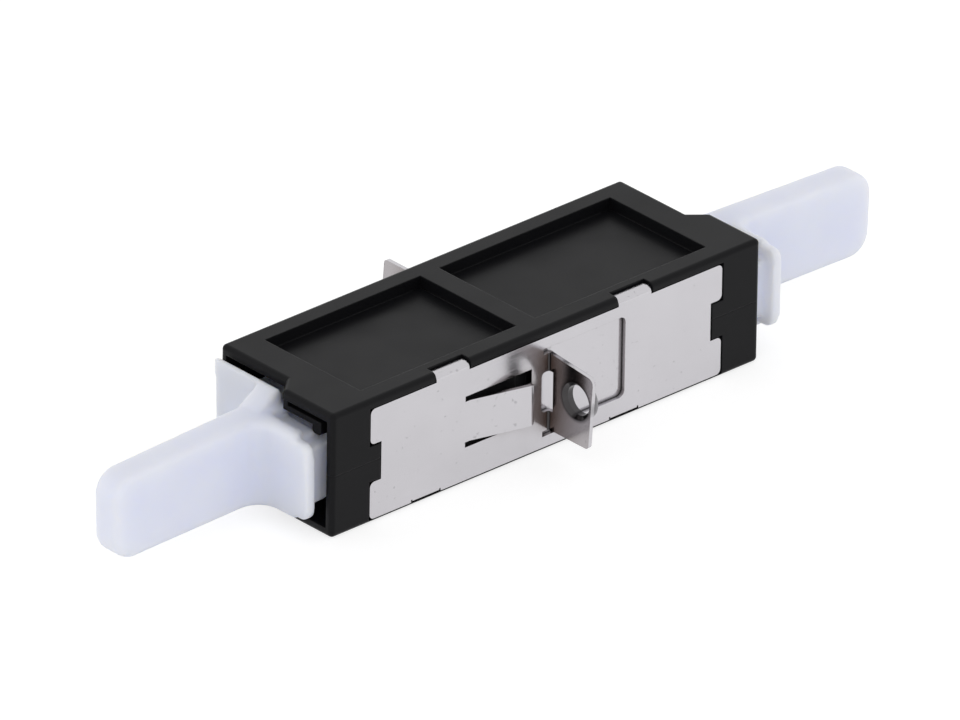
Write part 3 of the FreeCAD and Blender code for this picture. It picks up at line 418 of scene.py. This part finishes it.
class AdapterHousingFinish(bpy.types.PropertyGroup):
    """Finish of the two half housings."""

    colour: bpy.props.FloatVectorProperty(
        name="Colour", description="Black of the moulded housing", subtype="COLOR", size=3,
        default=linear("#0f0f11"), min=0.0, max=1.0)
    roughness: bpy.props.FloatProperty(
        name="Roughness", description="How far the moulded surface scatters its reflections",
        subtype="FACTOR", default=0.34, min=0.05, max=1.0)
    specular: bpy.props.FloatProperty(
        name="Specular", description="Strength of the surface's own reflection",
        subtype="FACTOR", default=0.095, min=0.0, max=1.0)
    # The real grain is finer, and is drawn this coarse so that it shows
    grain: bpy.props.FloatProperty(
        name="Grain", description="Width of the moulded grain", unit="LENGTH", default=0.1 * MM)
    grain_depth: bpy.props.FloatProperty(
        name="Grain Depth", description="Height of the moulded grain", unit="LENGTH", default=0.012 * MM)
    flow: bpy.props.FloatProperty(
        name="Flow Marks", description="Width of the clouds in the gloss", unit="LENGTH", default=4.0 * MM)
    edge: bpy.props.FloatProperty(
        name="Edge", description="Softening of the moulded edges", unit="LENGTH", default=0.12 * MM)


class AdapterPlateFinish(bpy.types.PropertyGroup):
    """Finish of a rolled steel sheet."""

    colour: bpy.props.FloatVectorProperty(
        name="Colour", description="Colour that the steel gives its reflections", subtype="COLOR", size=3,
        default=linear("#c8c6ca"), min=0.0, max=1.0)
    roughness: bpy.props.FloatProperty(
        name="Roughness", description="How far the rolled surface scatters its reflections",
        subtype="FACTOR", default=0.17, min=0.05, max=1.0)
    # The real lines are finer, and are drawn this coarse so that they show
    line: bpy.props.FloatProperty(
        name="Rolling Lines", description="Spacing of the rolling lines", unit="LENGTH", default=0.12 * MM)
    line_length: bpy.props.FloatProperty(
        name="Line Length", description="Length of the rolling lines", unit="LENGTH", default=5.0 * MM)
    line_depth: bpy.props.FloatProperty(
        name="Line Depth", description="Depth of the rolling lines", unit="LENGTH", default=0.003 * MM)
    cloud: bpy.props.FloatProperty(
        name="Clouds", description="Width of the changes in tone", unit="LENGTH", default=6.0 * MM)
    speck: bpy.props.FloatProperty(
        name="Specks", description="Width of the handling specks", unit="LENGTH", default=0.35 * MM)
    edge: bpy.props.FloatProperty(
        name="Edge", description="Softening of the blanked edges", unit="LENGTH", default=0.04 * MM)
    # Reach of the painted shade in narrow gaps
    gap: bpy.props.FloatProperty(
        name="Gap Shade", description="How far the dark of a narrow gap reaches", unit="LENGTH",
        default=0.3 * MM)
    # Brownish colour of the painted shade near the folds and over the ear
    film_shade: bpy.props.FloatVectorProperty(
        name="Film", description="Brownish film left by forming", subtype="COLOR", size=3,
        default=linear("#6e615b"), min=0.0, max=1.0)
    # How far the brownish painted shade reaches out of a fold
    fold: bpy.props.FloatProperty(
        name="Film Reach", description="How far the film reaches out of a fold", unit="LENGTH",
        default=3.5 * MM)
    hole: bpy.props.FloatVectorProperty(
        name="Hole", description="Centre of the drawn hole in the ear", subtype="TRANSLATION", size=3,
        unit="LENGTH", default=(0.5 * MM, 9.0 * MM, 4.7 * MM))
    # Reach of the painted shade on the drawn hole's wall
    hole_shade_reach: bpy.props.FloatProperty(
        name="Hole Reach", description="How far from that centre its worked wall reaches", unit="LENGTH",
        default=1.38 * MM)
    crease: bpy.props.FloatVectorProperty(
        name="Crease", description="A point in the inner bend of the ear's fold", subtype="TRANSLATION",
        size=3, unit="LENGTH", default=(0.17 * MM, 6.35 * MM, 4.7 * MM))
    # Reach of the painted shade in the inner bend of the ear's fold
    crease_shade_reach: bpy.props.FloatProperty(
        name="Crease Reach", description="How far from that bend the worked steel reaches", unit="LENGTH",
        default=0.13 * MM)


class AdapterPlugFinish(bpy.types.PropertyGroup):
    """Finish of the dust plugs."""

    colour: bpy.props.FloatVectorProperty(
        name="Colour", description="Cool white of the plugs", subtype="COLOR", size=3,
        default=linear("#e5e8f7"), min=0.0, max=1.0)
    roughness: bpy.props.FloatProperty(
        name="Roughness", description="How far the waxy surface scatters its reflections",
        subtype="FACTOR", default=0.42, min=0.05, max=1.0)
    spread: bpy.props.FloatProperty(
        name="Spread", description="How far light spreads inside the plug", unit="LENGTH", default=1.7 * MM)
    grain: bpy.props.FloatProperty(
        name="Grain", description="Width of the changes in gloss", unit="LENGTH", default=0.5 * MM)
    ripple: bpy.props.FloatProperty(
        name="Ripple", description="Width of the shrinkage ripple", unit="LENGTH", default=3.5 * MM)
    ripple_depth: bpy.props.FloatProperty(
        name="Ripple Depth", description="Height of the shrinkage ripple", unit="LENGTH", default=0.05 * MM)


class AdapterPlugForm(bpy.types.PropertyGroup):
    """Form of the dust plugs' moulded skin. Places along the plug are from the middle of the housing."""

    cell: bpy.props.FloatProperty(
        name="Cell", description="Fineness of the skin's mesh", unit="LENGTH", default=0.15 * MM)
    passes: bpy.props.IntProperty(
        name="Softening", description="Passes that soften the moulded edges", default=8, min=0)
    pivot: bpy.props.FloatProperty(
        name="Pivot", description="Inner end of the plug's body, about which it hangs", unit="LENGTH",
        default=9.0 * MM)
    droop: bpy.props.FloatProperty(
        name="Droop", description="Angle at which the plug hangs in its play", subtype="ANGLE",
        default=math.radians(1.75))
    drawn: bpy.props.FloatProperty(
        name="Drawn", description="How far the right plug stands short of its seat", unit="LENGTH",
        default=1.2 * MM)
    flange_back: bpy.props.FloatProperty(
        name="Flange Back", description="Back of the far flange", unit="LENGTH", default=18.65 * MM)
    flange_front: bpy.props.FloatProperty(
        name="Flange Front", description="Front of the far flange", unit="LENGTH", default=19.11 * MM)
    flange_rise: bpy.props.FloatProperty(
        name="Flange Rise", description="Far flange's upper edge over the axis", unit="LENGTH",
        default=4.35 * MM)
    flange_near: bpy.props.FloatProperty(
        name="Flange Near Side", description="Far flange's inner edge from the axis", unit="LENGTH",
        default=-0.28 * MM)
    flange_far: bpy.props.FloatProperty(
        name="Flange Far Side", description="Far flange's outer edge from the axis", unit="LENGTH",
        default=6.0 * MM)
    ramp_foot: bpy.props.FloatProperty(
        name="Ramp Foot", description="Where the flange's upper edge runs out on the blade", unit="LENGTH",
        default=21.0 * MM)
    blade_rise: bpy.props.FloatProperty(
        name="Blade Rise", description="Blade's upper edge over the axis", unit="LENGTH", default=3.2 * MM)
    blade_near: bpy.props.FloatProperty(
        name="Blade Near Side", description="Blade's near face from the axis", unit="LENGTH",
        default=-0.75 * MM)
    blade_far: bpy.props.FloatProperty(
        name="Blade Far Side", description="Blade's far face from the axis", unit="LENGTH",
        default=1.55 * MM)
    collar_back: bpy.props.FloatProperty(
        name="Collar Back", description="Shoulder behind the near wing, its back", unit="LENGTH",
        default=19.95 * MM)
    wing_back: bpy.props.FloatProperty(
        name="Wing Back", description="Inside the near wing, where the fills end", unit="LENGTH",
        default=20.6 * MM)
    neck_rise: bpy.props.FloatProperty(
        name="Neck Rise", description="Neck's upper edge over the axis", unit="LENGTH", default=2.7 * MM)
    neck_side: bpy.props.FloatProperty(
        name="Neck Side", description="Neck's near side from the axis", unit="LENGTH", default=-3.9 * MM)


class AdapterCoreFinish(bpy.types.PropertyGroup):
    """Finish of the alignment sleeve and its holders."""

    ceramic: bpy.props.FloatVectorProperty(
        name="Ceramic", description="White of the alignment sleeve", subtype="COLOR", size=3,
        default=linear("#efece4"), min=0.0, max=1.0)
    holder: bpy.props.FloatVectorProperty(
        name="Holder", description="Charcoal of the sleeve holders", subtype="COLOR", size=3,
        default=linear("#1c1c1f"), min=0.0, max=1.0)
    ceramic_roughness: bpy.props.FloatProperty(
        name="Ceramic Roughness", description="How far the ground ceramic scatters its reflections",
        subtype="FACTOR", default=0.28, min=0.05, max=1.0)
    holder_roughness: bpy.props.FloatProperty(
        name="Holder Roughness", description="How far the holders' plastic scatters its reflections",
        subtype="FACTOR", default=0.35, min=0.05, max=1.0)
    # The real rings are finer, and are drawn this coarse so that they show
    ring: bpy.props.FloatProperty(
        name="Grinding Rings", description="Spacing of the grinding rings", unit="LENGTH", default=0.158 * MM)
    grain: bpy.props.FloatProperty(
        name="Grain", description="Width of the holders' grain", unit="LENGTH", default=0.12 * MM)


class AdapterStage(bpy.types.PropertyGroup):
    """Camera, light and floor."""

    azimuth: bpy.props.FloatProperty(
        name="Azimuth", description="Camera's place round the part, from its front", subtype="ANGLE",
        default=math.radians(-42.833))
    elevation: bpy.props.FloatProperty(
        name="Elevation", description="Camera's height over the floor", subtype="ANGLE",
        default=math.radians(27.952))
    roll: bpy.props.FloatProperty(
        name="Roll", description="Turn of the camera about its own line of sight", subtype="ANGLE",
        default=math.radians(0.914))
    distance: bpy.props.FloatProperty(
        name="Distance", description="Camera to the middle of the part", unit="LENGTH", default=2000.0 * MM)
    lens: bpy.props.FloatProperty(
        name="Lens", description="Focal length on a 36 mm sensor, in millimetres", default=1107.18)
    shift: bpy.props.FloatVectorProperty(
        name="Shift", description="Framing shift of the lens, as a share of the picture's width", size=2,
        default=(-3.69 / 960, -4.794 / 960))
    floor_colour: bpy.props.FloatVectorProperty(
        name="Floor", description="Colour of the floor's paper", subtype="COLOR", size=3,
        default=linear("#f4f4f4"), min=0.0, max=1.0)
    floor_glow: bpy.props.FloatProperty(
        name="Floor Glow", description="Share of even white in the floor as seen", subtype="FACTOR",
        default=0.5, min=0.0, max=1.0)
    floor_level: bpy.props.FloatProperty(
        name="Floor Level", description="Level of that white", default=1.45, min=0.0)
    side_level: bpy.props.FloatProperty(
        name="Side Level", description="Light from the sides", default=1.6, min=0.0)
    top_level: bpy.props.FloatProperty(
        name="Top Level", description="Light from straight above", default=0.35, min=0.0)
    overhead: bpy.props.FloatProperty(
        name="Overhead", description="Power of the soft light above, in watts", default=0.06, min=0.0)


class ADAPTER_OT_finish_housing(bpy.types.Operator):
    """Gives both half housings their moulded black"""

    bl_idname = "adapter.finish_housing"
    bl_label = "Finish Housing"

    def execute(self, context):
        assign(SHELLS, moulded_housing_plastic(context.scene.adapter_housing))
        return {"FINISHED"}


class ADAPTER_OT_finish_side_plates(bpy.types.Operator):
    """Gives the sprung side plates their rolled steel"""

    bl_idname = "adapter.finish_side_plates"
    bl_label = "Finish Side Plates"

    def execute(self, context):
        finish = context.scene.adapter_side_plate
        assign(SIDE_PLATES, rolled_spring_steel("stainless_spring_steel_cold_rolled", finish))
        return {"FINISHED"}


class ADAPTER_OT_finish_backing_plates(bpy.types.Operator):
    """Gives the backing plates their annealed steel"""

    bl_idname = "adapter.finish_backing_plates"
    bl_label = "Finish Backing Plates"

    def execute(self, context):
        finish = context.scene.adapter_backing_plate
        assign(BACKING_PLATES, rolled_spring_steel("stainless_steel_bright_annealed", finish))
        return {"FINISHED"}


class ADAPTER_OT_finish_sleeve(bpy.types.Operator):
    """Gives the alignment sleeve its ceramic and the holders their plastic"""

    bl_idname = "adapter.finish_sleeve"
    bl_label = "Finish Sleeve and Holders"

    def execute(self, context):
        finish = context.scene.adapter_core
        assign(SLEEVES, ground_zirconia(finish))
        assign(SLEEVE_HOLDERS, moulded_holder_plastic(finish))
        return {"FINISHED"}


class ADAPTER_OT_mould_dust_plugs(bpy.types.Operator):
    """Moulds the dust plugs' soft skins and gives them their translucent white"""

    bl_idname = "adapter.mould_dust_plugs"
    bl_label = "Mould Dust Plugs"

    def execute(self, context):
        form = context.scene.adapter_plug_form
        material = moulded_plug_polyethylene(context.scene.adapter_plug)
        for node, body in DUST_PLUGS.items():
            skin = self.mould(context, form, node)
            skin.data.materials.clear()
            skin.data.materials.append(material)
            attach(skin, body)
            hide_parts(node)
        return {"FINISHED"}

    def mould(self, context, form, node):
        """The plug's rigid form and its fills, melted into one soft skin."""
        blank = bmesh.new()
        blank.from_mesh(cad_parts[node].data)
        place = hang_plug(form, node.startswith("right"))
        for corners, faces in plug_fills(form):
            points = [blank.verts.new(place @ corner) for corner in corners]
            for face in faces:
                blank.faces.new([points[i] for i in face])
        bmesh.ops.recalc_face_normals(blank, faces=blank.faces)
        mesh = bpy.data.meshes.new(f"{node}_blank")
        blank.to_mesh(mesh)
        blank.free()
        skin = bpy.data.objects.new(f"{node}_skin", mesh)
        context.scene.collection.objects.link(skin)
        melt = skin.modifiers.new("melt", "REMESH")
        melt.mode = "VOXEL"
        melt.voxel_size = form.cell
        melt.use_smooth_shade = True
        soften = skin.modifiers.new("soften", "SMOOTH")
        soften.iterations = form.passes
        context.view_layer.update()
        melted = skin.evaluated_get(context.evaluated_depsgraph_get())
        skin.data = bpy.data.meshes.new_from_object(melted)
        skin.modifiers.clear()
        if not skin.data.polygons:
            raise RuntimeError(f"the skin of {node} came out empty")
        return skin


class ADAPTER_OT_set_stage(bpy.types.Operator):
    """Sets the floor, the light and the camera"""

    bl_idname = "adapter.set_stage"
    bl_label = "Set Stage"

    def execute(self, context):
        stage = context.scene.adapter_stage
        low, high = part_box("upper_shell")
        below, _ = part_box("lower_shell")
        centre = Vector(((low.x + high.x) / 2, (low.y + high.y) / 2, (below.z + high.z) / 2))
        span = cad_bounds[1].x - cad_bounds[0].x
        self.lay_floor(context, stage, cad_bounds[0].z, FLOOR_SIDE * span)
        self.hang_light(context, stage, centre, span)
        self.light_world(context, stage)
        self.stand_camera(context, stage, centre)
        context.scene.view_settings.view_transform = "Standard"
        return {"FINISHED"}

    def lay_floor(self, context, stage, height, size):
        """A flat sheet of pale paper just under the part."""
        half = size / 2
        corners = [(-half, -half, 0), (half, -half, 0), (half, half, 0), (-half, half, 0)]
        mesh = bpy.data.meshes.new("studio_floor")
        mesh.from_pydata(corners, [], [(0, 1, 2, 3)])
        mesh.materials.append(studio_floor(stage))
        floor = bpy.data.objects.new("studio_floor", mesh)
        floor.location = (0, 0, height - FLOOR_GAP)
        context.scene.collection.objects.link(floor)

    def hang_light(self, context, stage, centre, span):
        """A broad soft box above the part, a little to its left and front."""
        lamp = bpy.data.lights.new("overhead_softbox", "AREA")
        lamp.shape = "SQUARE"
        lamp.size = SOFTBOX_SIDE * span
        lamp.energy = stage.overhead
        softbox = bpy.data.objects.new("overhead_softbox", lamp)
        softbox.location = centre + span * Vector(SOFTBOX_PLACE)
        softbox.rotation_euler = (centre - softbox.location).to_track_quat("-Z", "Y").to_euler()
        softbox.visible_camera = False
        context.scene.collection.objects.link(softbox)

    def light_world(self, context, stage):
        """White where it is seen or mirrored; as a light it comes mostly from the sides."""
        world = bpy.data.worlds.new("white_studio")
        world.use_nodes = True
        tree = world.node_tree
        tree.nodes.clear()
        ray = add_node(tree, "ShaderNodeTexCoord").outputs["Generated"]
        rise = add_node(tree, "ShaderNodeSeparateXYZ", {"Vector": ray})
        level = add_node(tree, "ShaderNodeMapRange", {
            "Value": rise.outputs["Z"], "To Min": stage.side_level, "To Max": stage.top_level})
        light = add_node(tree, "ShaderNodeBackground", {"Color": WHITE, "Strength": level.outputs["Result"]})
        backdrop = add_node(tree, "ShaderNodeBackground", {"Color": WHITE, "Strength": 1.0})
        mixed = add_node(tree, "ShaderNodeMixShader", {
            0: seen_rays(tree), 1: light.outputs["Background"], 2: backdrop.outputs["Background"]})
        add_node(tree, "ShaderNodeOutputWorld", {"Surface": mixed.outputs["Shader"]})
        context.scene.world = world

    def stand_camera(self, context, stage, target):
        """The photograph's own viewpoint, aimed at the middle of the part."""
        a, e, r = stage.azimuth, stage.elevation, stage.roll
        back = Vector((math.sin(a) * math.cos(e), -math.cos(a) * math.cos(e), math.sin(e)))
        level = Vector((math.cos(a), math.sin(a), 0))
        upright = back.cross(level)
        right = math.cos(r) * level + math.sin(r) * upright
        up = math.cos(r) * upright - math.sin(r) * level
        lens = bpy.data.cameras.new("camera")
        lens.sensor_width = SENSOR_WIDTH
        lens.lens = stage.lens
        lens.shift_x, lens.shift_y = stage.shift
        camera = bpy.data.objects.new("camera", lens)
        turn = Matrix((right, up, back)).transposed().to_4x4()
        camera.matrix_world = Matrix.Translation(target + stage.distance * back) @ turn
        context.scene.collection.objects.link(camera)
        context.scene.camera = camera


STEPS = (
    ADAPTER_OT_finish_housing,
    ADAPTER_OT_finish_side_plates,
    ADAPTER_OT_finish_backing_plates,
    ADAPTER_OT_finish_sleeve,
    ADAPTER_OT_mould_dust_plugs,
    ADAPTER_OT_set_stage,
)


PROPERTIES = {
    "adapter_housing": AdapterHousingFinish,
    "adapter_side_plate": AdapterPlateFinish,
    "adapter_backing_plate": AdapterPlateFinish,
    "adapter_plug": AdapterPlugFinish,
    "adapter_plug_form": AdapterPlugForm,
    "adapter_core": AdapterCoreFinish,
    "adapter_stage": AdapterStage,
}
GROUPS = tuple(dict.fromkeys(PROPERTIES.values()))


class ADAPTER_PT_panel(bpy.types.Panel):
    """Lists the finishes and the stage"""

    bl_idname = "ADAPTER_PT_panel"
    bl_label = "Fibre Adapter"
    bl_space_type = "VIEW_3D"
    bl_region_type = "UI"
    bl_category = "Fibre Adapter"

    def draw(self, context):
        for step in STEPS:
            self.layout.operator(step.bl_idname)
        for name in PROPERTIES:
            box = self.layout.box()
            group = getattr(context.scene, name)
            for value in group.__annotations__:
                box.prop(group, value)


def register():
    for cls in (*GROUPS, *STEPS, ADAPTER_PT_panel):
        bpy.utils.register_class(cls)
    for name, group in PROPERTIES.items():
        setattr(bpy.types.Scene, name, bpy.props.PointerProperty(type=group))


def unregister():
    for name in PROPERTIES:
        delattr(bpy.types.Scene, name)
    for cls in reversed((*GROUPS, *STEPS, ADAPTER_PT_panel)):
        bpy.utils.unregister_class(cls)


def main():
    register()
    bpy.ops.adapter.finish_housing()
    bpy.ops.adapter.finish_side_plates()
    bpy.ops.adapter.finish_backing_plates()
    bpy.ops.adapter.finish_sleeve()
    bpy.ops.adapter.mould_dust_plugs()
    bpy.ops.adapter.set_stage()


if __name__ == "__main__":
    main()
